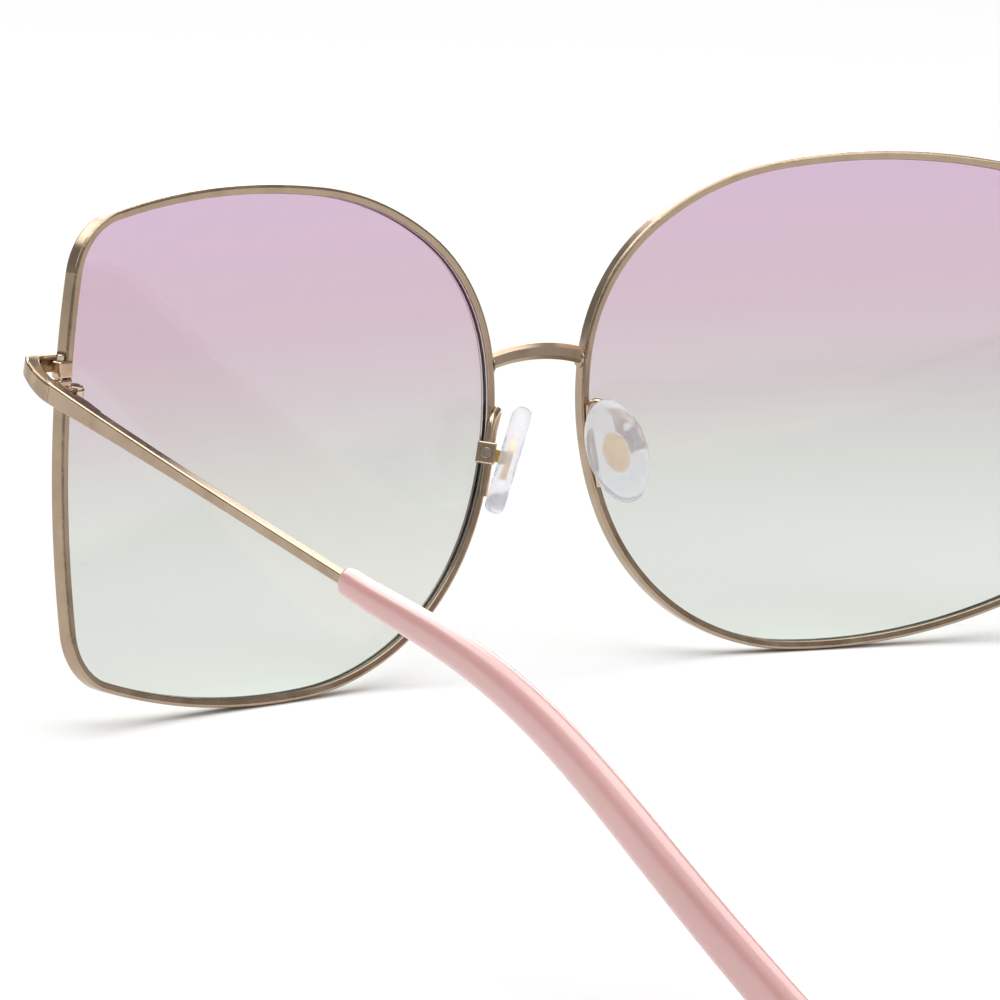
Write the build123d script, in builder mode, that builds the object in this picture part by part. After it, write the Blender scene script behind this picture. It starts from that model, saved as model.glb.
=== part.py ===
from build123d import *
import os
from math import atan2, copysign, cos, degrees, pi, radians, sin, sqrt

# Metal-framed cat eye sunglasses, worn size. The pieces are drawn in the frame of the
# front: X runs to the wearer's left, Y runs back towards the ears, Z runs up, and the
# lenses are centred on Z = 0. At the end everything is set down on a table, resting on
# the rims and the temple tips, with the origin under the middle of its box.
# Lengths are in millimetres and angles in degrees.

# ---------------------------------------------------------------- driving dimensions
# Lenses
lens_width = 62.0
lens_height = 56.9
lens_gap = 14.6
lens_corner_radius = 6.5
base_curve_radius = 265.0
face_wrap = 6.9
lens_thickness = 1.5
bevel_depth = 0.45
bevel_thickness = 0.8
bevel_slope = 0.25
bevel_fit = 0.02
blank_reach = 15.0  # half depth of the blanks that the curved faces are cut from

# Rims
rim_width = 1.0
rim_depth = 1.95
rim_outer_round = 0.3
rim_inner_round = 0.12

# Rim locks: the blocks that close each rim around its lens
lock_height = 9.6
lock_split = 0.12
lock_reach = 1.2
lock_upper_length = 1.9
lock_lower_length = 1.5
lock_lip = 0.2
lock_front = 0.2
lock_round = 0.25
lock_screw_diameter = 0.8
lock_screw_head_diameter = 1.0
lock_screw_head_height = 0.75

# Bridge
bridge_height = 6.7
bridge_rise = 1.15
bridge_thickness = 1.9
bridge_depth = 1.5
bridge_bevel = 0.45
bridge_collar_overhang = 0.18
bridge_collar_length = 0.45

# Temples: the seam is where the end piece and the temple butt together, placed from the rim lock
seam_outward = 4.586
seam_back = 4.51
seam_drop = 1.08
temple_inward = 2.5
temple_drop = 15.4
temple_thickness = 1.3
temple_root_height = 2.3
temple_slim_height = 1.25
temple_taper_length = 40.0
temple_round = 0.22
temple_taper_stations = (0.25, 0.5, 0.75, 1)
temple_bend_distance = 85.4
temple_bend_angle = 16.8
temple_bend_radius = 79.0
temple_length = 143.0
core_diameter = 1.1
core_end_margin = 12.0
sleeve_start_distance = 55.2
sleeve_overlap = 4.5
sleeve_start_height = 3.1
sleeve_end_height = 5.9
sleeve_start_thickness = 2.5
sleeve_middle_thickness = 3.1
sleeve_end_thickness = 2.7
sleeve_front_round = 0.55
sleeve_end_round = 1.1
sleeve_growth_power = 0.8
sleeve_roundness = 0.42
sleeve_stations = (0, 0.1, 0.25, 0.45, 0.65, 0.85, 1)

# End pieces
end_piece_thickness = 1.6
end_piece_outer_radius = 3.2
end_piece_inner_radius = 1.2
end_piece_inset = 0.9
end_piece_seating = 0.25
end_piece_swell = 0.15
end_piece_swell_share = 0.45
end_piece_rise = 1.25
end_piece_profile_margin = 1.0
end_piece_front_height = 2.0
end_piece_round = 0.3

# Temple hinges
hinge_pin_back = 1.8
knuckle_diameter = 1.9
knuckle_height = 0.72
hinge_leaf_thickness = 0.5
hinge_leaf_height = 1.7
hinge_leaf_length = 6.3
hinge_leaf_taper = 3.0
hinge_leaf_tip_thickness = 0.15
hinge_pin_diameter = 0.9
hinge_head_diameter = 1.5
hinge_head_height = 0.35

# Nose pads and what holds them
pad_length = 12.8
pad_width = 7.3
pad_thickness = 2.3
pad_round = 1.0
pad_outward = 0.4
pad_back = 3.8
pad_height = -3.7
pad_splay = 37.3
pad_flare = 16.3
pad_cant = 10.3
insert_length = 4.9
insert_width = 3.1
insert_thickness = 0.5
lug_thickness = 1.1
lug_length = 1.4
box_width = 2.3
box_length = 2.5
box_depth = 2.2
box_wall = 0.3
box_round = 0.2
pad_gap = 0.45
pad_screw_diameter = 0.8
pad_screw_head_diameter = 1.3
pad_screw_head_height = 0.3
pad_slot_turn = 38.0
pad_rest_rock = 8.0
arm_diameter = 0.95
arm_foot_height = -8.3
arm_straight_top = -0.8
arm_crest_height = 2.1
arm_crest_back = 0.6
arm_crest_inward = 0.3
arm_drop = 2.6
arm_bends = [3.0, 0.8, 1.4]

# Fits
seam_gap = 0.06
running_clearance = 0.05
press_clearance = 0.02
braze_gap = 0.02
screw_slot_width = 0.26
screw_slot_depth = 0.18
screw_head_round_share = 0.25


# ---------------------------------------------------------------- lens shape
def lens_point(across, up):
    """Point of the lens edge, as shares of the half width and the half height."""
    return (across * lens_width / 2, up * lens_height / 2)


top_direction = (-0.965 * lens_width, 0.262 * lens_height)

with BuildSketch() as lens_shape:
    with BuildLine():
        brow = TangentArc(lens_point(0.929, 0.897), lens_point(-0.203, 0.965), tangent=top_direction)
        shoulder = TangentArc(brow @ 1, lens_point(-0.708, 0.751), tangent=brow % 1)
        upper_nose = TangentArc(shoulder @ 1, lens_point(-0.994, 0.232), tangent=shoulder % 1)
        nose = TangentArc(upper_nose @ 1, lens_point(-0.929, -0.36), tangent=upper_nose % 1)
        lower_nose = TangentArc(nose @ 1, lens_point(-0.53, -0.861), tangent=nose % 1)
        cheek = TangentArc(lower_nose @ 1, lens_point(-0.1245, -0.99), tangent=lower_nose % 1)
        bottom = TangentArc(cheek @ 1, lens_point(0.97, -0.808), tangent=cheek % 1)
        ThreePointArc(bottom @ 1, lens_point(0.997, 0.046), brow @ 0)
    make_face()
    fillet(lens_shape.vertices().filter_by(lambda corner: corner.X > lens_width / 4), lens_corner_radius)


def lens_outline(growth):
    """The lens shape grown all round by a distance: each of its arcs keeps its centre."""
    with BuildSketch() as outline:
        with BuildLine():
            for arc in lens_shape.edges():
                spots = [arc @ share for share in (0, 0.5, 1)]
                ThreePointArc([spot + (spot - arc.arc_center).normalized() * growth for spot in spots])
        make_face()
    return outline.sketch


# ---------------------------------------------------------------- lens surface
lens_centre_x = lens_gap / 2 + lens_width / 2 * cos(radians(face_wrap)) + lens_width**2 / (
    8 * base_curve_radius
) * sin(radians(face_wrap))
lens_plane = Plane(
    origin=(lens_centre_x, 0, 0),
    x_dir=(cos(radians(face_wrap)), sin(radians(face_wrap)), 0),
    z_dir=(sin(radians(face_wrap)), -cos(radians(face_wrap)), 0),
)
curve_centre = lens_plane.from_local_coords((0, 0, -base_curve_radius))


def rim_plane(across, up):
    """Plane on the lens surface at a point of the lens, facing forward, X pointing outward."""
    depth = base_curve_radius - sqrt(base_curve_radius**2 - across**2 - up**2)
    spot = lens_plane.from_local_coords((across, up, -depth))
    facing = (spot - curve_centre).normalized()
    outward = lens_plane.y_dir.cross(facing).normalized()
    return Plane(origin=spot, x_dir=outward, z_dir=facing)


def edge_distance(up, side):
    """How far the lens edge is from the lens centre at one height, outward (1) or to the nose (-1)."""
    ray = Edge.make_line((0, up), (side * lens_width, up))
    return side * lens_shape.sketch.face().intersect(ray)[0].length


def ring_blank(growth):
    """Everything within the rim's outline, grown all round, as one thick curved disc."""
    with BuildPart() as blank:
        with BuildSketch(lens_plane):
            add(lens_outline(rim_width + growth))
        extrude(amount=blank_reach, both=True)
        with Locations(curve_centre):
            Sphere(base_curve_radius + rim_depth / 2 + growth, mode=Mode.INTERSECT)
            Sphere(base_curve_radius - rim_depth / 2 - growth, mode=Mode.SUBTRACT)
    return blank.part


front_space = ring_blank(braze_gap)

# ---------------------------------------------------------------- lens
with BuildPart() as lens_body:
    with BuildSketch(lens_plane):
        add(lens_outline(-bevel_fit))
    extrude(amount=blank_reach, both=True)
    with Locations(curve_centre):
        Sphere(base_curve_radius + lens_thickness / 2, mode=Mode.INTERSECT)
        Sphere(base_curve_radius - lens_thickness / 2, mode=Mode.SUBTRACT)


def bevel_ridge(growth):
    """The ridge round the lens edge that seats in the rim's groove, grown by a clearance."""
    with BuildPart() as ridge:
        with BuildSketch(lens_plane):
            add(lens_outline(bevel_depth - bevel_fit + growth))
        extrude(amount=blank_reach, both=True)
        with Locations(curve_centre):
            Sphere(base_curve_radius + bevel_thickness / 2 + growth, mode=Mode.INTERSECT)
            Sphere(base_curve_radius - bevel_thickness / 2 - growth, mode=Mode.SUBTRACT)
        around = ridge.edges().filter_by(lambda edge: edge.length > bevel_thickness + 3 * growth)
        chamfer(around, bevel_slope)
    return ridge.part


with BuildPart() as lens:
    add(lens_body.part)
    add(bevel_ridge(0))

# ---------------------------------------------------------------- rim
long_edge = 1.5 * rim_depth
lock_plane = rim_plane(edge_distance(lock_height, 1), lock_height)

with BuildPart() as rim:
    add(ring_blank(0))
    fillet(rim.edges().filter_by(lambda edge: edge.length > long_edge), rim_outer_round)
    with BuildSketch(lens_plane):
        add(lens_shape.sketch)
    extrude(amount=blank_reach, both=True, mode=Mode.SUBTRACT)
    fillet(rim.edges(Select.LAST).filter_by(lambda edge: edge.length > long_edge), rim_inner_round)
    add(bevel_ridge(bevel_fit), mode=Mode.SUBTRACT)
    with Locations(lock_plane.location):
        Box(4 * rim_width, lock_split, 3 * rim_depth, mode=Mode.SUBTRACT)


# ---------------------------------------------------------------- rim locks
lock_axis_x = rim_width + lock_reach / 2
lock_back = rim_depth / 2 + lock_lip
lock_axis_y = (lock_back - lock_front) / 2
lock_section = Plane(
    origin=lock_plane.origin,
    x_dir=lock_plane.x_dir,
    z_dir=lock_plane.z_dir.cross(lock_plane.x_dir),
)


def lock_block(start, length):
    """One block of the rim lock, hugging the rim, from a start height for a length."""
    with BuildPart() as block:
        with BuildSketch(lock_section.offset(start)):
            with Locations(((lock_reach + rim_width + rim_inner_round) / 2, lock_axis_y)):
                Rectangle(lock_reach + rim_width - rim_inner_round, lock_back + lock_front)
        extrude(amount=length)
        fillet(block.edges(), lock_round)
        add(front_space, mode=Mode.SUBTRACT)
        with BuildSketch(lock_section.offset(start)):
            with Locations((lock_axis_x, lock_axis_y)):
                Circle(lock_screw_diameter / 2 + press_clearance)
        extrude(amount=length, mode=Mode.SUBTRACT)
    return block.part


def slotted_screw(seat, shank_diameter, shank_length, head_diameter, head_height):
    """Slotted cheese-head screw: its head stands on the seat plane and its shank goes below."""
    with BuildPart() as screw:
        with BuildSketch(seat):
            Circle(head_diameter / 2)
        extrude(amount=head_height)
        fillet(screw.faces().sort_by(SortBy.AREA)[-1].edges(), head_height * screw_head_round_share)
        with BuildSketch(seat):
            Circle(shank_diameter / 2)
        extrude(amount=-shank_length)
        with BuildSketch(seat.offset(head_height)):
            Rectangle(2 * head_diameter, screw_slot_width)
        extrude(amount=-screw_slot_depth, mode=Mode.SUBTRACT)
    return screw.part


lock_upper = lock_block(lock_split / 2, lock_upper_length)
lock_lower = lock_block(-lock_split / 2 - lock_lower_length, lock_lower_length)
lock_seat_height = lock_split / 2 + lock_upper_length + press_clearance
lock_seat = Plane(
    origin=lock_section.from_local_coords((lock_axis_x, lock_axis_y, lock_seat_height)),
    x_dir=lock_section.x_dir,
    z_dir=lock_section.z_dir,
)
lock_screw = slotted_screw(
    lock_seat,
    lock_screw_diameter,
    lock_upper_length + lock_lower_length + lock_split,
    lock_screw_head_diameter,
    lock_screw_head_height,
)

# ---------------------------------------------------------------- bridge
nose_edge = edge_distance(bridge_height, -1)
bridge_spot = rim_plane(nose_edge, bridge_height).from_local_coords((-rim_width, 0, 0))
bridge_root = Vector(bridge_spot.X + rim_width, bridge_spot.Y, bridge_height)
right_front_space = mirror(front_space, about=Plane.YZ, mode=Mode.PRIVATE)

collar_start = Plane(
    origin=(bridge_spot.X - bridge_collar_length, bridge_spot.Y, bridge_height),
    x_dir=(0, 1, 0),
    z_dir=(1, 0, 0),
)
with BuildPart() as collar:
    with BuildSketch(collar_start):
        Ellipse(bridge_depth / 2 + bridge_collar_overhang, bridge_thickness / 2 + bridge_collar_overhang)
    extrude(amount=bridge_collar_length + rim_width / 2)
    fillet(collar.faces().sort_by(Axis.X)[0].edges(), bridge_collar_overhang)

with BuildPart() as bridge:
    with BuildLine() as arch:
        ThreePointArc(
            (-bridge_root.X, bridge_root.Y, bridge_root.Z),
            (0, bridge_root.Y, bridge_root.Z + bridge_rise),
            bridge_root,
        )
    with BuildSketch(Plane(origin=arch.line @ 0, x_dir=(0, 1, 0), z_dir=arch.line % 0)) as bar_section:
        Rectangle(bridge_depth, bridge_thickness)
        chamfer(bar_section.vertices(), bridge_bevel)
    sweep()
    add(collar.part)
    mirror(collar.part, about=Plane.YZ)
    add(front_space, mode=Mode.SUBTRACT)
    add(right_front_space, mode=Mode.SUBTRACT)

# ---------------------------------------------------------------- temple
temple_outward = Vector(cos(radians(temple_inward)), sin(radians(temple_inward)), 0)
temple_level = Vector(-sin(radians(temple_inward)), cos(radians(temple_inward)), 0)
temple_up = temple_level * sin(radians(temple_drop)) + Vector(0, 0, cos(radians(temple_drop)))
seam_point = lock_plane.origin + Vector(seam_outward, seam_back, -seam_drop)
temple_frame = Plane(origin=seam_point, x_dir=temple_outward, z_dir=temple_up)
temple_side = Plane(origin=seam_point, x_dir=temple_frame.y_dir, z_dir=temple_outward)
bend_turn = radians(temple_bend_angle)
bend_start = temple_bend_distance - temple_bend_radius * bend_turn / 2
bend_length = temple_bend_radius * bend_turn


def temple_station(distance):
    """Plane square across the temple's centre line at a distance behind the seam, X outward."""
    turned = min(max(distance - bend_start, 0), bend_length) / temple_bend_radius
    before = min(distance, bend_start)
    after = max(distance - bend_start - bend_length, 0)
    along = before + temple_bend_radius * sin(turned) + after * cos(turned)
    down = temple_bend_radius * (1 - cos(turned)) + after * sin(turned)
    spot = temple_side.from_local_coords((along, -down, 0))
    heading = temple_frame.y_dir * cos(turned) - temple_frame.z_dir * sin(turned)
    return Plane(origin=spot, x_dir=temple_outward, z_dir=heading)


def core_route(start, end):
    """Centre line of the temple between two distances behind the seam."""
    with BuildLine(temple_side) as route:
        straight = Line((start, 0), (bend_start, 0))
        bend = JernArc(straight @ 1, straight % 1, temple_bend_radius, -temple_bend_angle)
        Line(bend @ 1, bend @ 1 + (bend % 1) * (end - bend_start - bend_length))
    return route.line


def temple_height(distance):
    """Height of the metal bar, which tapers smoothly from its root to its slim length."""
    left = max(1 - distance / temple_taper_length, 0)
    return temple_slim_height + (temple_root_height - temple_slim_height) * left**2


bar_end = sleeve_start_distance + sleeve_overlap
core_end = temple_length - core_end_margin
bar_stations = [seam_gap] + [temple_taper_length * share for share in temple_taper_stations]

with BuildPart() as temple:
    for distance in bar_stations:
        with BuildSketch(temple_station(distance)):
            RectangleRounded(temple_thickness, temple_height(distance), temple_round)
    loft()
    with BuildSketch(temple_station(temple_taper_length)):
        RectangleRounded(temple_thickness, temple_slim_height, temple_round)
    extrude(amount=bar_end - temple_taper_length)
    with BuildSketch(temple_station(bar_end)):
        Circle(core_diameter / 2)
    sweep(path=core_route(bar_end, core_end))

# ---------------------------------------------------------------- temple tip
sleeve_length = temple_length - sleeve_start_distance


def sleeve_section(share):
    """Thickness and height of the tip at a share of its length."""
    height = sleeve_start_height + (sleeve_end_height - sleeve_start_height) * share**sleeve_growth_power
    swell = sin(pi * share)
    plain = sleeve_start_thickness + (sleeve_end_thickness - sleeve_start_thickness) * share
    fuller = sleeve_middle_thickness - (sleeve_start_thickness + sleeve_end_thickness) / 2
    return plain + fuller * swell, height


with BuildPart() as temple_tip:
    for share in sleeve_stations:
        thickness, height = sleeve_section(share)
        with BuildSketch(temple_station(sleeve_start_distance + share * sleeve_length)):
            RectangleRounded(thickness, height, thickness * sleeve_roundness)
    loft()
    fillet(temple_tip.faces().filter_by(GeomType.PLANE).sort_by(Axis.Y)[0].edges(), sleeve_front_round)
    fillet(temple_tip.faces().filter_by(GeomType.PLANE).sort_by(Axis.Y)[-1].edges(), sleeve_end_round)
    with BuildSketch(temple_station(sleeve_start_distance)):
        Rectangle(temple_thickness + 2 * press_clearance, temple_slim_height + 2 * press_clearance)
    extrude(amount=sleeve_overlap + press_clearance, mode=Mode.SUBTRACT)
    with BuildSketch(temple_station(bar_end)):
        Circle(core_diameter / 2 + press_clearance)
    sweep(path=core_route(bar_end, core_end + press_clearance), mode=Mode.SUBTRACT)

# ---------------------------------------------------------------- end piece
rim_front = temple_frame.to_local_coords(lock_plane.from_local_coords((rim_width / 2, 0, rim_depth / 2)))
rim_inner_front = temple_frame.to_local_coords(lock_plane.from_local_coords((0, 0, rim_depth / 2)))
end_inner = rim_front.Y + end_piece_seating
end_outer = rim_front.Y - end_piece_thickness
end_start = rim_inner_front.X - end_piece_inset
profile_front = end_outer - end_piece_profile_margin
half_seam = temple_thickness / 2
half_end = end_piece_thickness / 2
half_root = temple_root_height / 2
half_front = end_piece_front_height / 2

with BuildPart() as end_piece:
    # Seen from above it runs forward from the seam, turns a rounded corner and meets the rim.
    with BuildSketch(temple_frame) as end_plan:
        with BuildLine():
            Polyline(
                (half_seam, 0),
                (half_end + end_piece_swell, end_outer * end_piece_swell_share),
                (half_end, end_outer),
                (end_start, end_outer),
                (end_start, end_inner),
                (-half_end, end_inner),
                (-half_seam, end_inner / 2),
                (-half_seam, 0),
                close=True,
            )
        make_face()
        outer_corner = end_plan.vertices().sort_by_distance((half_end, end_outer))[0]
        fillet(outer_corner, end_piece_outer_radius)
        inner_corner = end_plan.vertices().sort_by_distance((-half_end, end_inner))[0]
        fillet(inner_corner, end_piece_inner_radius)
    extrude(amount=temple_root_height + end_piece_rise, both=True)
    # Seen from the side it climbs from the seam to the height where it meets the rim.
    with BuildSketch(temple_side) as end_profile:
        with BuildLine():
            lower = Spline(
                (0, -half_root),
                (end_inner, end_piece_rise - half_front),
                (profile_front, end_piece_rise - half_front),
                tangents=[(-1, 0), (-1, 0)],
            )
            upper = Spline(
                (0, half_root),
                (end_inner, end_piece_rise + half_front),
                (profile_front, end_piece_rise + half_front),
                tangents=[(-1, 0), (-1, 0)],
            )
            Line(lower @ 0, upper @ 0)
            Line(lower @ 1, upper @ 1)
        make_face()
    extrude(amount=temple_frame.origin.X, both=True, mode=Mode.INTERSECT)
    seam_face = end_piece.faces().sort_by_distance(seam_point)[0]
    fillet(end_piece.edges().filter_by(lambda edge: edge not in seam_face.edges()), end_piece_round)
    add(front_space, mode=Mode.SUBTRACT)

# ---------------------------------------------------------------- temple hinge
knuckle_radius = knuckle_diameter / 2
pin_inset = half_seam + running_clearance + knuckle_radius
hinge_frame = Plane(
    origin=temple_frame.from_local_coords((-pin_inset, hinge_pin_back, 0)),
    x_dir=temple_outward,
    z_dir=temple_up,
)
knuckle_pitch = knuckle_height + running_clearance
hinge_stack = 3 * knuckle_height + 2 * running_clearance
leaf_middle = knuckle_radius + running_clearance - braze_gap - hinge_leaf_thickness / 2
leaf_clear = knuckle_radius + running_clearance


def hinge_half(knuckles, leaf_end, leaf_taper, hole_clearance):
    """Hinge leaf with its knuckles, from the pin out to the end of the leaf along Y."""
    way = copysign(1, leaf_end)
    leaf_outer = leaf_middle + hinge_leaf_thickness / 2
    leaf_inner = leaf_middle - hinge_leaf_thickness / 2
    with BuildPart() as half:
        with BuildSketch(hinge_frame.offset(-hinge_leaf_height / 2)):
            Polygon(
                (leaf_inner, way * leaf_clear),
                (leaf_outer, way * leaf_clear),
                (leaf_outer, leaf_end),
                (leaf_outer - hinge_leaf_tip_thickness, leaf_end),
                (leaf_inner, leaf_end - way * leaf_taper),
                align=None,
            )
        extrude(amount=hinge_leaf_height)
        for level in knuckles:
            with BuildSketch(hinge_frame.offset(level * knuckle_pitch - knuckle_height / 2)):
                Circle(knuckle_radius)
                with Locations((leaf_middle, way * leaf_clear / 2)):
                    Rectangle(hinge_leaf_thickness, leaf_clear)
            extrude(amount=knuckle_height)
        with BuildSketch(hinge_frame.offset(-hinge_stack / 2)):
            Circle(hinge_pin_diameter / 2 + hole_clearance)
        extrude(amount=hinge_stack, mode=Mode.SUBTRACT)
    return half.part


front_leaf_end = end_inner / 2 - hinge_pin_back + end_piece_round
front_hinge = hinge_half((-1, 1), front_leaf_end, hinge_leaf_tip_thickness, press_clearance)
temple_hinge = hinge_half((0,), hinge_leaf_length, hinge_leaf_taper, running_clearance)
hinge_screw = slotted_screw(
    hinge_frame.offset(hinge_stack / 2 + press_clearance),
    hinge_pin_diameter,
    hinge_stack + press_clearance,
    hinge_head_diameter,
    hinge_head_height,
)

# ---------------------------------------------------------------- nose pad
pad_facing = Vector(
    cos(radians(pad_flare)) * cos(radians(pad_splay)),
    -cos(radians(pad_flare)) * sin(radians(pad_splay)),
    sin(radians(pad_flare)),
)
pad_level = Vector(sin(radians(pad_splay)), cos(radians(pad_splay)), 0)
pad_upright = pad_facing.cross(pad_level)
pad_across = pad_level * cos(radians(pad_cant)) + pad_upright * sin(radians(pad_cant))
pad_frame = Plane(
    origin=(lens_gap / 2 + pad_outward, pad_back, pad_height),
    x_dir=pad_across,
    z_dir=pad_facing,
)
pad_axis_depth = pad_thickness / 2 + pad_gap + box_depth / 2
pad_axis_point = pad_frame.from_local_coords((0, 0, pad_axis_depth))
pad_side = Plane(origin=pad_axis_point, x_dir=pad_frame.y_dir, z_dir=pad_across)


def pad_insert_shape(growth):
    """Oval plate inside the pad with the lug that the pad hangs from, grown by a clearance."""
    with BuildPart() as insert:
        with BuildSketch(pad_frame.offset(-insert_thickness / 2 - growth)):
            Ellipse(insert_width / 2 + growth, insert_length / 2 + growth)
        extrude(amount=insert_thickness + 2 * growth)
        with BuildSketch(pad_side):
            Circle(lug_length / 2 + growth)
            with Locations((0, -pad_axis_depth / 2)):
                Rectangle(lug_length + 2 * growth, pad_axis_depth)
        extrude(amount=lug_thickness / 2 + growth, both=True)
    return insert.part


with BuildPart() as pad_insert:
    add(pad_insert_shape(0))
    with BuildSketch(pad_side):
        Circle(pad_screw_diameter / 2 + running_clearance)
    extrude(amount=lug_thickness, both=True, mode=Mode.SUBTRACT)

with BuildPart() as nose_pad:
    with BuildSketch(pad_frame):
        Ellipse(pad_width / 2, pad_length / 2)
    extrude(amount=pad_thickness / 2, both=True)
    fillet(nose_pad.edges(), pad_round)
    add(pad_insert_shape(press_clearance), mode=Mode.SUBTRACT)

box_facing = pad_facing * cos(radians(pad_rest_rock)) - pad_frame.y_dir * sin(radians(pad_rest_rock))
box_frame = Plane(origin=pad_axis_point, x_dir=pad_across, z_dir=box_facing)
with BuildPart() as pad_box:
    with BuildSketch(box_frame.offset(-box_depth / 2)):
        Rectangle(box_width, box_length)
    extrude(amount=box_depth)
    fillet(pad_box.edges(), box_round)
    with BuildSketch(box_frame.offset(-box_depth / 2)):
        Rectangle(lug_thickness + 2 * running_clearance, box_length - 2 * box_wall)
    extrude(amount=box_depth - box_wall, mode=Mode.SUBTRACT)
    with BuildSketch(pad_side.offset(-box_width / 2)):
        Circle(pad_screw_diameter / 2 + press_clearance)
    extrude(amount=box_width, mode=Mode.SUBTRACT)
    with BuildSketch(pad_side.offset(box_width / 2)):
        Circle(pad_screw_head_diameter / 2 + press_clearance)
    extrude(amount=-pad_screw_head_height - press_clearance, mode=Mode.SUBTRACT)

slot_turn = radians(pad_slot_turn)
screw_seat = Plane(
    origin=pad_side.from_local_coords((0, 0, box_width / 2 - pad_screw_head_height)),
    x_dir=pad_side.x_dir * cos(slot_turn) + pad_side.y_dir * sin(slot_turn),
    z_dir=pad_across,
)
pad_screw = slotted_screw(
    screw_seat,
    pad_screw_diameter,
    box_width - pad_screw_head_height,
    pad_screw_head_diameter,
    pad_screw_head_height,
)

# ---------------------------------------------------------------- pad arm
arm_radius = arm_diameter / 2
arm_behind = -(rim_depth / 2 + arm_radius + braze_gap)


def nose_rim_point(up, inward, back):
    """Point beside the nose side of the rim: this far to the nose and behind its middle."""
    beside = rim_plane(edge_distance(up, -1), up)
    return beside.from_local_coords((-rim_width / 2 - inward, 0, arm_behind - back))


with BuildPart() as pad_arm:
    with BuildLine() as arm_route:
        FilletPolyline(
            nose_rim_point(arm_foot_height, 0, 0),
            nose_rim_point(arm_straight_top, 0, 0),
            nose_rim_point(arm_crest_height, arm_crest_inward, arm_crest_back),
            box_frame.from_local_coords((0, box_length / 2 + arm_drop, 0)),
            box_frame.from_local_coords((0, box_length / 2 + braze_gap, 0)),
            radius=arm_bends,
        )
    with BuildSketch(Plane(origin=arm_route.line @ 0, z_dir=arm_route.line % 0)):
        Circle(arm_radius)
    sweep()

# ---------------------------------------------------------------- all pieces, each in its node
side_pieces = {
    "rim": rim.part,
    "lens": lens.part,
    "rim_lock_upper": lock_upper,
    "rim_lock_lower": lock_lower,
    "rim_lock_screw": lock_screw,
    "end_piece": end_piece.part,
    "hinge_front": front_hinge,
    "hinge_rear": temple_hinge,
    "hinge_screw": hinge_screw,
    "temple": temple.part,
    "temple_tip": temple_tip.part,
    "pad_arm": pad_arm.part,
    "pad_box": pad_box.part,
    "pad_screw": pad_screw,
    "pad_insert": pad_insert.part,
    "nose_pad": nose_pad.part,
}
pieces = {"bridge": bridge.part}
for name, piece in side_pieces.items():
    with BuildPart() as opposite:
        mirror(piece, about=Plane.YZ)
    pieces[f"left_{name}"] = piece
    pieces[f"right_{name}"] = opposite.part


# ---------------------------------------------------------------- resting place
def lowest_at(piece, tilt):
    """Height of a piece's lowest point once it is turned about X by an angle."""
    return piece.moved(Location((0, 0, 0), (tilt, 0, 0))).bounding_box().min.Z


rest_tilt = 0
settling_steps = 5
contact_span = temple_tip.part.bounding_box().max.Y
for _ in range(settling_steps):
    step_down = lowest_at(rim.part, rest_tilt) - lowest_at(temple_tip.part, rest_tilt)
    rest_tilt = rest_tilt + degrees(atan2(step_down, contact_span))

tilted = [piece.moved(Location((0, 0, 0), (rest_tilt, 0, 0))) for piece in pieces.values()]
whole = Compound(children=tilted).bounding_box()
rest_location = Location((0, -(whole.min.Y + whole.max.Y) / 2, -whole.min.Z), (rest_tilt, 0, 0))

os.makedirs("parts", exist_ok=True)
for name, piece in pieces.items():
    placed = piece.moved(rest_location)
    placed.label = name
    export_step(placed, f"parts/{name}.step")


def report_axis(name, plane):
    """Prints where a joint's axis lies on the finished object."""
    placed = Plane(rest_location * plane.location)
    origin = [round(value, 4) for value in placed.origin]
    direction = [round(value, 6) for value in placed.z_dir]
    print(name, "axis at", origin, "along", direction)


print("rest tilt", round(rest_tilt, 4))
report_axis("left_temple_fold", hinge_frame)
report_axis("left_pad_rock", pad_side)
report_axis("front_frame", Plane.XY)
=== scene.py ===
import math

import bmesh
import bpy
import numpy
from mathutils import Matrix, Vector


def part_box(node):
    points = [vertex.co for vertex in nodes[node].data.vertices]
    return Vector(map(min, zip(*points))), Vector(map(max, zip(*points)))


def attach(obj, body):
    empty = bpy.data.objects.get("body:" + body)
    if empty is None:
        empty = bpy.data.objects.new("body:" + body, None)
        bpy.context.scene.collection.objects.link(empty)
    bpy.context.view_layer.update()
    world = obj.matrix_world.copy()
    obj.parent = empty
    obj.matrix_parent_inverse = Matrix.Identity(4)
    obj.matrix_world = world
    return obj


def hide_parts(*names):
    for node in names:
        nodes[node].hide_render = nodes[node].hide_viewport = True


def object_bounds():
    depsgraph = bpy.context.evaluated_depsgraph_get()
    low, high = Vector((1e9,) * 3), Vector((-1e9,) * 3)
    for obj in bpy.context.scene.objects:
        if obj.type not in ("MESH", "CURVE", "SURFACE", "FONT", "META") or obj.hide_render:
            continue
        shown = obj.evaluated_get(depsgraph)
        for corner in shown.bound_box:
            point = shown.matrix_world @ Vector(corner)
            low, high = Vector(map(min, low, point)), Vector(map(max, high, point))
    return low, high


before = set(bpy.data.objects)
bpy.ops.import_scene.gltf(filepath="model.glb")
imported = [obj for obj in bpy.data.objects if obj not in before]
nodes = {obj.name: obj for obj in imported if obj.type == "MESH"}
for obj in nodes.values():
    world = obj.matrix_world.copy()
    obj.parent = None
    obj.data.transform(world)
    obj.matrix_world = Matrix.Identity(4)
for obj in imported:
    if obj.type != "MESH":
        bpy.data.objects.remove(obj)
cad_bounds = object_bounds()
scene = bpy.context.scene

SIDES = ("left", "right")

# ---------------------------------------------------------------- measures, metres and degrees

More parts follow.
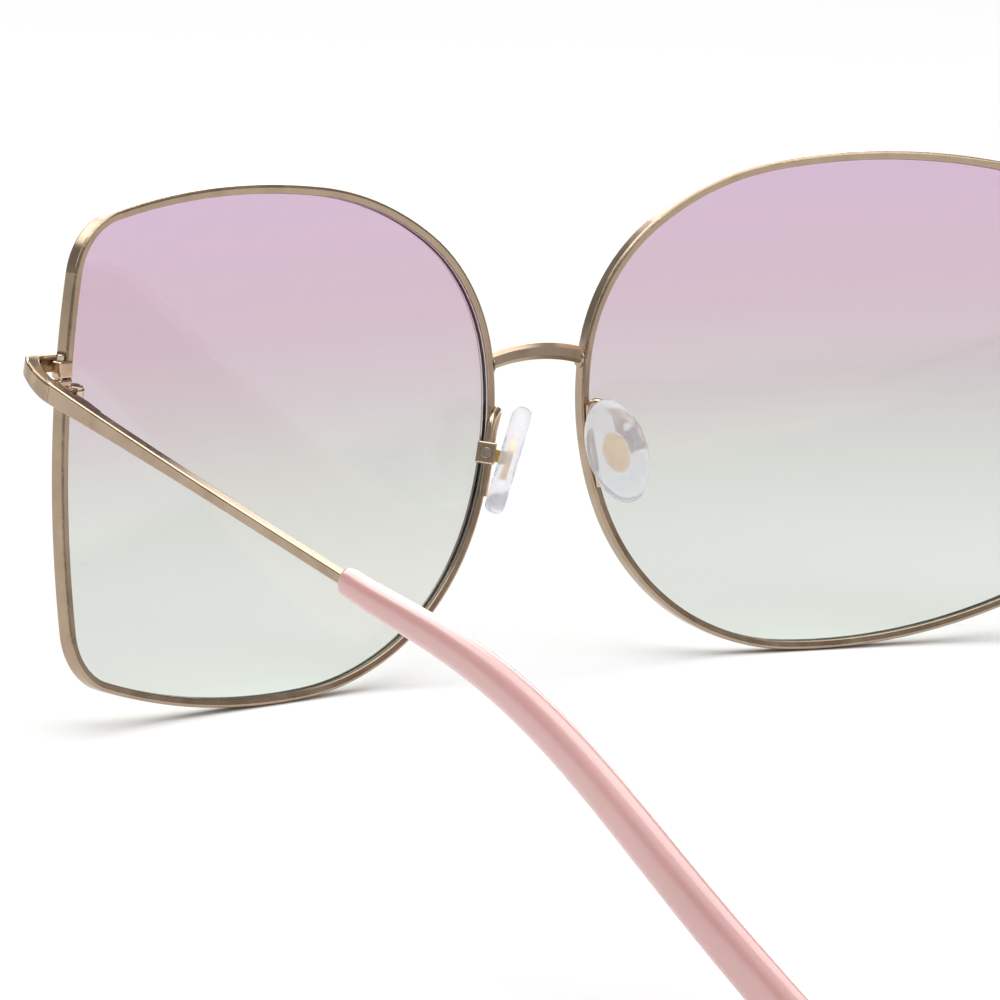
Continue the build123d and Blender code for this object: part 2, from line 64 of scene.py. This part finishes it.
CAMERA_AZIMUTH = 143.84        # the camera looks over the wearer's left temple, from behind
CAMERA_ELEVATION = 12.98
CAMERA_ROLL = 4.485
CAMERA_DISTANCE = 0.9011
CAMERA_SENSOR = 36.0
CAMERA_LENS = 282.06
CAMERA_NEAREST = 0.01
CAMERA_FARTHEST = 50
AIM_FROM_BRIDGE = Vector((0.0048, 0.0019, -0.0162))

FLOOR_SIZE = 6.0
FLOOR_GREY = 0.93
SKY_STRENGTH = 0.30

TIP_RINGS = 96                 # rings along each temple tip, closer together towards its ends
TIP_RING_POINTS = 40
TIP_FULLNESS = 2.25            # 2 makes each ring an ellipse, and more makes it squarer

# Scales count noise cells in a metre, and depths are how far a bump rises.
PLATING_CLOUD_SCALE = 220
PLATING_CLOUD = {"detail": 5, "roughness": 0.6}
POLISHING_LINE_SCALE = 5200
POLISHING_LINE_STRETCH = (1, 0.08, 1)
POLISHING_LINE_DEPTH = 0.0000008
PIT_SCALE = 9000
PIT_DEPTH = 0.0000005
EDGE_POINTINESS = (0.52, 0.62)
EDGE_WEAR = 0.5
WORN_GAIN = 1.25

LENS_IOR = 1.5
LENS_SMEAR_SCALE = 90
LENS_SMEAR_ROUGHNESS = 0.006

PEARL_SCALE = 70
PEARL = {"detail": 1.5, "stretch": (1, 0.4, 1)}
TIP_SKIN_SCALE = 7000
TIP_SKIN_DEPTH = 0.000004
TIP_IOR = 1.65
TIP_COAT_ROUGHNESS = 0.24
TIP_COAT_IOR = 1.75
TIP_SUBSURFACE = 0.25
TIP_SUBSURFACE_RADIUS = (0.0015, 0.0006, 0.0005)

SILICONE_HAZE_SCALE = 420
SILICONE_HAZE_DEPTH = 0.000006
SILICONE_IOR = 1.25
SILICONE_TRANSMISSION = 0.72


# ---------------------------------------------------------------- small node helpers

def srgb(red, green, blue):
    """A linear colour from 0 to 255 display values."""
    def channel(value):
        share = value / 255
        if share <= 0.04045:
            return share / 12.92
        return ((share + 0.055) / 1.055) ** 2.4
    return (channel(red), channel(green), channel(blue), 1.0)


def new_material(name):
    """An empty node material, its tree and its output node."""
    material = bpy.data.materials.new(name)
    material.use_nodes = True
    tree = material.node_tree
    tree.nodes.clear()
    output = tree.nodes.new("ShaderNodeOutputMaterial")
    return material, tree, output


def object_position(tree):
    """The point on the piece, in metres in its own frame."""
    return tree.nodes.new("ShaderNodeTexCoord").outputs["Object"]


def noise(tree, vector, scale, detail=3.0, roughness=0.5, stretch=(1, 1, 1)):
    """A grey noise output, drawn out along the axes that stretch makes small."""
    mapping = tree.nodes.new("ShaderNodeMapping")
    mapping.inputs["Scale"].default_value = stretch
    tree.links.new(vector, mapping.inputs["Vector"])
    texture = tree.nodes.new("ShaderNodeTexNoise")
    texture.inputs["Scale"].default_value = scale
    texture.inputs["Detail"].default_value = detail
    texture.inputs["Roughness"].default_value = roughness
    tree.links.new(mapping.outputs["Vector"], texture.inputs["Vector"])
    return texture.outputs["Fac"]


def ramp(tree, factor, stops):
    """A colour output that passes through (position, colour) stops."""
    node = tree.nodes.new("ShaderNodeValToRGB")
    elements = node.color_ramp.elements
    while len(elements) < len(stops):
        elements.new(0.5)
    for element, (position, colour) in zip(elements, stops):
        element.position = position
        element.color = colour
    tree.links.new(factor, node.inputs["Fac"])
    return node.outputs["Color"]


def remap(tree, value, low, high, to_low, to_high):
    """value taken from low..high to to_low..to_high and held there."""
    node = tree.nodes.new("ShaderNodeMapRange")
    node.clamp = True
    for name, number in (("From Min", low), ("From Max", high), ("To Min", to_low), ("To Max", to_high)):
        node.inputs[name].default_value = number
    tree.links.new(value, node.inputs["Value"])
    return node.outputs["Result"]


def mix_colour(tree, factor, first, second):
    """A colour between the output first and the fixed colour second."""
    node = tree.nodes.new("ShaderNodeMix")
    node.data_type = "RGBA"
    factor_socket, first_socket, second_socket = node.inputs[0], node.inputs[6], node.inputs[7]
    tree.links.new(factor, factor_socket)
    tree.links.new(first, first_socket)
    second_socket.default_value = second
    return node.outputs[2]


def bump(tree, height, distance, normal=None):
    """A normal output raised by height, distance metres at full white, on top of another normal."""
    node = tree.nodes.new("ShaderNodeBump")
    node.inputs["Strength"].default_value = 1.0
    node.inputs["Distance"].default_value = distance
    tree.links.new(height, node.inputs["Height"])
    if normal is not None:
        tree.links.new(normal, node.inputs["Normal"])
    return node.outputs["Normal"]


def clear_to_lamps(tree, output, shader, colour):
    """Ends a see-through material, and lets the light of lamps pass it with a colour."""
    through = tree.nodes.new("ShaderNodeBsdfTransparent")
    if isinstance(colour, bpy.types.NodeSocket):
        tree.links.new(colour, through.inputs["Color"])
    else:
        through.inputs["Color"].default_value = colour
    path = tree.nodes.new("ShaderNodeLightPath")
    mix = tree.nodes.new("ShaderNodeMixShader")
    tree.links.new(path.outputs["Is Shadow Ray"], mix.inputs["Fac"])
    tree.links.new(shader.outputs["BSDF"], mix.inputs[1])
    tree.links.new(through.outputs["BSDF"], mix.inputs[2])
    tree.links.new(mix.outputs["Shader"], output.inputs["Surface"])


def shade(piece, material):
    """Gives a piece one material in all its slots."""
    piece.data.materials.clear()
    piece.data.materials.append(material)


# ---------------------------------------------------------------- materials

def plated_metal(name, light, dark, smooth_at, rough_at):
    """Polished and plated metal: faintly cloudy plating, fine polishing lines and brighter worn edges."""
    material, tree, output = new_material(name)
    shader = tree.nodes.new("ShaderNodeBsdfPrincipled")
    shader.inputs["Metallic"].default_value = 1.0
    position = object_position(tree)
    cloud = noise(tree, position, PLATING_CLOUD_SCALE, **PLATING_CLOUD)
    lines = noise(tree, position, POLISHING_LINE_SCALE, stretch=POLISHING_LINE_STRETCH)
    pits = noise(tree, position, PIT_SCALE, detail=2)
    colour = ramp(tree, cloud, [(0.35, dark), (0.65, light)])
    geometry = tree.nodes.new("ShaderNodeNewGeometry")
    edge = remap(tree, geometry.outputs["Pointiness"], *EDGE_POINTINESS, 0.0, EDGE_WEAR)
    worn = tuple(min(1.0, channel * WORN_GAIN) for channel in light[:3]) + (1.0,)
    colour = mix_colour(tree, edge, colour, worn)
    tree.links.new(colour, shader.inputs["Base Color"])
    tree.links.new(remap(tree, cloud, 0.3, 0.7, smooth_at, rough_at), shader.inputs["Roughness"])
    normal = bump(tree, lines, POLISHING_LINE_DEPTH)
    normal = bump(tree, pits, PIT_DEPTH, normal=normal)
    tree.links.new(normal, shader.inputs["Normal"])
    tree.links.new(shader.outputs["BSDF"], output.inputs["Surface"])
    return material


def gradient_lens(name, low, high):
    """A tinted lens, pink at the top and almost clear at the bottom, that also tints its shadow."""
    material, tree, output = new_material(name)
    position = object_position(tree)
    split = tree.nodes.new("ShaderNodeSeparateXYZ")
    tree.links.new(position, split.inputs["Vector"])
    height = remap(tree, split.outputs["Z"], low, high, 0.0, 1.0)
    tint = ramp(tree, height, [
        (0.12, srgb(227, 232, 226)),
        (0.34, srgb(217, 220, 214)),
        (0.45, srgb(211, 211, 207)),
        (0.56, srgb(207, 198, 201)),
        (0.70, srgb(207, 187, 197)),
        (0.85, srgb(210, 185, 201)),
        (1.00, srgb(211, 185, 207)),
    ])
    # Light passes two faces, so each face has the square root of the tint.
    root = tree.nodes.new("ShaderNodeGamma")
    root.inputs["Gamma"].default_value = 0.5
    tree.links.new(tint, root.inputs["Color"])
    glass = tree.nodes.new("ShaderNodeBsdfGlass")
    glass.inputs["IOR"].default_value = LENS_IOR
    tree.links.new(root.outputs["Color"], glass.inputs["Color"])
    smear = noise(tree, position, LENS_SMEAR_SCALE)
    tree.links.new(remap(tree, smear, 0.35, 0.7, 0.0, LENS_SMEAR_ROUGHNESS), glass.inputs["Roughness"])
    clear_to_lamps(tree, output, glass, root.outputs["Color"])
    return material


def satin_tip(name):
    """Pink plastic with a faint pearly mottle, a fine skin and a soft clear coat."""
    material, tree, output = new_material(name)
    shader = tree.nodes.new("ShaderNodeBsdfPrincipled")
    position = object_position(tree)
    pearl = noise(tree, position, PEARL_SCALE, **PEARL)
    colour = ramp(tree, pearl, [(0.25, srgb(209, 155, 151)), (0.75, srgb(218, 166, 161))])
    tree.links.new(colour, shader.inputs["Base Color"])
    skin = noise(tree, position, TIP_SKIN_SCALE, detail=2)
    tree.links.new(remap(tree, pearl, 0.25, 0.75, 0.29, 0.36), shader.inputs["Roughness"])
    tree.links.new(bump(tree, skin, TIP_SKIN_DEPTH), shader.inputs["Normal"])
    shader.inputs["IOR"].default_value = TIP_IOR
    shader.inputs["Coat Weight"].default_value = 1.0
    shader.inputs["Coat Roughness"].default_value = TIP_COAT_ROUGHNESS
    shader.inputs["Coat IOR"].default_value = TIP_COAT_IOR
    shader.inputs["Subsurface Weight"].default_value = TIP_SUBSURFACE
    shader.inputs["Subsurface Radius"].default_value = TIP_SUBSURFACE_RADIUS
    shader.inputs["Subsurface Scale"].default_value = 1.0
    tree.links.new(shader.outputs["BSDF"], output.inputs["Surface"])
    return material


def clear_silicone(name):
    """Clear soft silicone, a little milky inside, with a handled surface."""
    material, tree, output = new_material(name)
    shader = tree.nodes.new("ShaderNodeBsdfPrincipled")
    position = object_position(tree)
    haze = noise(tree, position, SILICONE_HAZE_SCALE, detail=4)
    colour = ramp(tree, haze, [(0.3, srgb(240, 241, 246)), (0.7, srgb(250, 250, 252))])
    tree.links.new(colour, shader.inputs["Base Color"])
    tree.links.new(remap(tree, haze, 0.3, 0.7, 0.05, 0.16), shader.inputs["Roughness"])
    tree.links.new(bump(tree, haze, SILICONE_HAZE_DEPTH), shader.inputs["Normal"])
    shader.inputs["IOR"].default_value = SILICONE_IOR
    shader.inputs["Transmission Weight"].default_value = SILICONE_TRANSMISSION
    clear_to_lamps(tree, output, shader, srgb(244, 245, 250))
    return material


champagne = plated_metal("champagne_plating", srgb(178, 158, 136), srgb(162, 142, 120), 0.16, 0.27)
polished_gold = plated_metal("polished_champagne", srgb(205, 182, 158), srgb(188, 164, 138), 0.09, 0.18)
yellow_gold = plated_metal("yellow_gold_insert", srgb(238, 194, 98), srgb(228, 180, 78), 0.18, 0.28)
screw_steel = plated_metal("plated_screw_steel", srgb(212, 194, 176), srgb(194, 176, 158), 0.12, 0.22)
lens_low, lens_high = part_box("left_lens")
lens_tint = gradient_lens("gradient_tint", lens_low.z, lens_high.z)
tip_pink = satin_tip("satin_pink")
silicone = clear_silicone("clear_silicone_pad")

FINISH_BY_PIECE = {
    "rim": champagne,
    "rim_lock_upper": polished_gold,
    "rim_lock_lower": polished_gold,
    "rim_lock_screw": screw_steel,
    "end_piece": champagne,
    "hinge_front": polished_gold,
    "hinge_rear": polished_gold,
    "hinge_screw": screw_steel,
    "temple": champagne,
    "temple_tip": tip_pink,
    "pad_arm": polished_gold,
    "pad_box": polished_gold,
    "pad_screw": screw_steel,
    "pad_insert": yellow_gold,
    "nose_pad": silicone,
    "lens": lens_tint,
}
shade(nodes["bridge"], champagne)
for side in SIDES:
    for piece, finish in FINISH_BY_PIECE.items():
        shade(nodes[f"{side}_{piece}"], finish)


# ---------------------------------------------------------------- temple tips

def edge_ends(mesh):
    """The two ends of every edge of a mesh, as one array."""
    points = numpy.array([vertex.co for vertex in mesh.vertices])
    pairs = numpy.array([edge.vertices for edge in mesh.edges])
    return points[pairs]


def slice_box(ends, level):
    """Middle and half size, across and up, of edges where the plane y = level cuts them."""
    first, second = ends[:, 0], ends[:, 1]
    cut = (first[:, 1] - level) * (second[:, 1] - level) < 0
    first, second = first[cut], second[cut]
    share = (level - first[:, 1]) / (second[:, 1] - first[:, 1])
    spots = first + (second - first) * share[:, None]
    low, high = spots.min(axis=0), spots.max(axis=0)
    return Vector((low + high) / 2), (high[0] - low[0]) / 2, (high[2] - low[2]) / 2


def rounded(value):
    """A sine or cosine, drawn out so that a ring made with it is a little fuller than an ellipse."""
    return math.copysign(abs(value) ** (2 / TIP_FULLNESS), value)


def moulded_tip(side):
    """The soft-sectioned tip, drawn through rings that touch the sides of its CAD solid."""
    ends = edge_ends(nodes[f"{side}_temple_tip"].data)
    low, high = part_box(f"{side}_temple_tip")
    middle_y, half_length = (low.y + high.y) / 2, (high.y - low.y) / 2
    turns = [2 * math.pi * point / TIP_RING_POINTS for point in range(TIP_RING_POINTS)]
    builder = bmesh.new()
    rings = []
    for ring in range(1, TIP_RINGS):
        level = middle_y - half_length * math.cos(math.pi * ring / TIP_RINGS)
        middle, half_across, half_up = slice_box(ends, level)
        offsets = [
            Vector((half_across * rounded(math.cos(turn)), 0, half_up * rounded(math.sin(turn))))
            for turn in turns
        ]
        rings.append([builder.verts.new(middle + offset) for offset in offsets])
    for behind, ahead in zip(rings, rings[1:]):
        for point in range(TIP_RING_POINTS):
            after = (point + 1) % TIP_RING_POINTS
            builder.faces.new((behind[point], behind[after], ahead[after], ahead[point]))
    builder.faces.new(rings[0])
    builder.faces.new(rings[-1])
    bmesh.ops.recalc_face_normals(builder, faces=builder.faces)
    for face in builder.faces:
        face.smooth = True
    mesh = bpy.data.meshes.new(f"{side}_moulded_tip")
    builder.to_mesh(mesh)
    builder.free()
    piece = bpy.data.objects.new(f"{side}_moulded_tip", mesh)
    scene.collection.objects.link(piece)
    shade(piece, tip_pink)
    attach(piece, f"{side}_temple")
    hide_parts(f"{side}_temple_tip")


for side in SIDES:
    moulded_tip(side)


# ---------------------------------------------------------------- floor, light and camera

def look_rotation(direction, roll=0.0):
    """A rotation whose -Z looks along direction, turned by roll degrees about it."""
    turn = direction.to_track_quat("-Z", "Y").to_matrix()
    return turn @ Matrix.Rotation(math.radians(roll), 3, "Z")


def stand_direction(azimuth, elevation):
    """The unit vector from the object to a thing at that azimuth and elevation."""
    a, e = math.radians(azimuth), math.radians(elevation)
    return Vector((math.sin(a) * math.cos(e), -math.cos(a) * math.cos(e), math.sin(e)))


bridge_low, bridge_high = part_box("bridge")
aim = (bridge_low + bridge_high) / 2 + AIM_FROM_BRIDGE

camera_data = bpy.data.cameras.new("camera")
camera_data.sensor_width = CAMERA_SENSOR
camera_data.lens = CAMERA_LENS
camera_data.clip_start = CAMERA_NEAREST
camera_data.clip_end = CAMERA_FARTHEST
camera = bpy.data.objects.new("camera", camera_data)
scene.collection.objects.link(camera)
back = stand_direction(CAMERA_AZIMUTH, CAMERA_ELEVATION)
camera.location = aim + back * CAMERA_DISTANCE
camera.rotation_mode = "QUATERNION"
camera.rotation_quaternion = look_rotation(-back, CAMERA_ROLL).to_quaternion()
scene.camera = camera


def soft_box(name, azimuth, elevation, distance, size, watts, gloss_only=False):
    """A rectangular studio light that faces the middle of the object, or only shows in its gloss."""
    data = bpy.data.lights.new(name, "AREA")
    data.shape = "RECTANGLE"
    data.size, data.size_y = size
    data.energy = watts
    lamp = bpy.data.objects.new(name, data)
    scene.collection.objects.link(lamp)
    middle = (cad_bounds[0] + cad_bounds[1]) / 2
    direction = stand_direction(azimuth, elevation)
    lamp.location = middle + direction * distance
    lamp.rotation_mode = "QUATERNION"
    lamp.rotation_quaternion = look_rotation(-direction).to_quaternion()
    lamp.visible_camera = False
    lamp.visible_diffuse = not gloss_only
    lamp.visible_transmission = not gloss_only


soft_box("light_top", 180, 85, 2.0, (2.6, 2.6), 48)
soft_box("light_rim", -38, 15, 1.3, (1.2, 0.75), 7.5, gloss_only=True)
soft_box("light_front", 2, 42, 1.3, (1.4, 0.6), 9, gloss_only=True)
soft_box("light_left", 80, 30, 1.3, (0.4, 0.9), 1.5)
soft_box("light_back", 205, 32, 1.4, (0.9, 0.6), 3)

world = bpy.data.worlds.new("studio")
scene.world = world
world.use_nodes = True
sky = world.node_tree.nodes["Background"]
sky.inputs["Color"].default_value = (1, 1, 1, 1)
sky.inputs["Strength"].default_value = SKY_STRENGTH

bpy.ops.mesh.primitive_plane_add(size=FLOOR_SIZE)
floor = bpy.context.object
floor.name = "studio_floor"
floor_material, floor_tree, floor_output = new_material("pale_floor")
floor_shader = floor_tree.nodes.new("ShaderNodeBsdfDiffuse")
floor_shader.inputs["Color"].default_value = (FLOOR_GREY, FLOOR_GREY, FLOOR_GREY, 1)
floor_tree.links.new(floor_shader.outputs["BSDF"], floor_output.inputs["Surface"])
shade(floor, floor_material)

scene.view_settings.view_transform = "Standard"
scene.view_settings.look = "None"
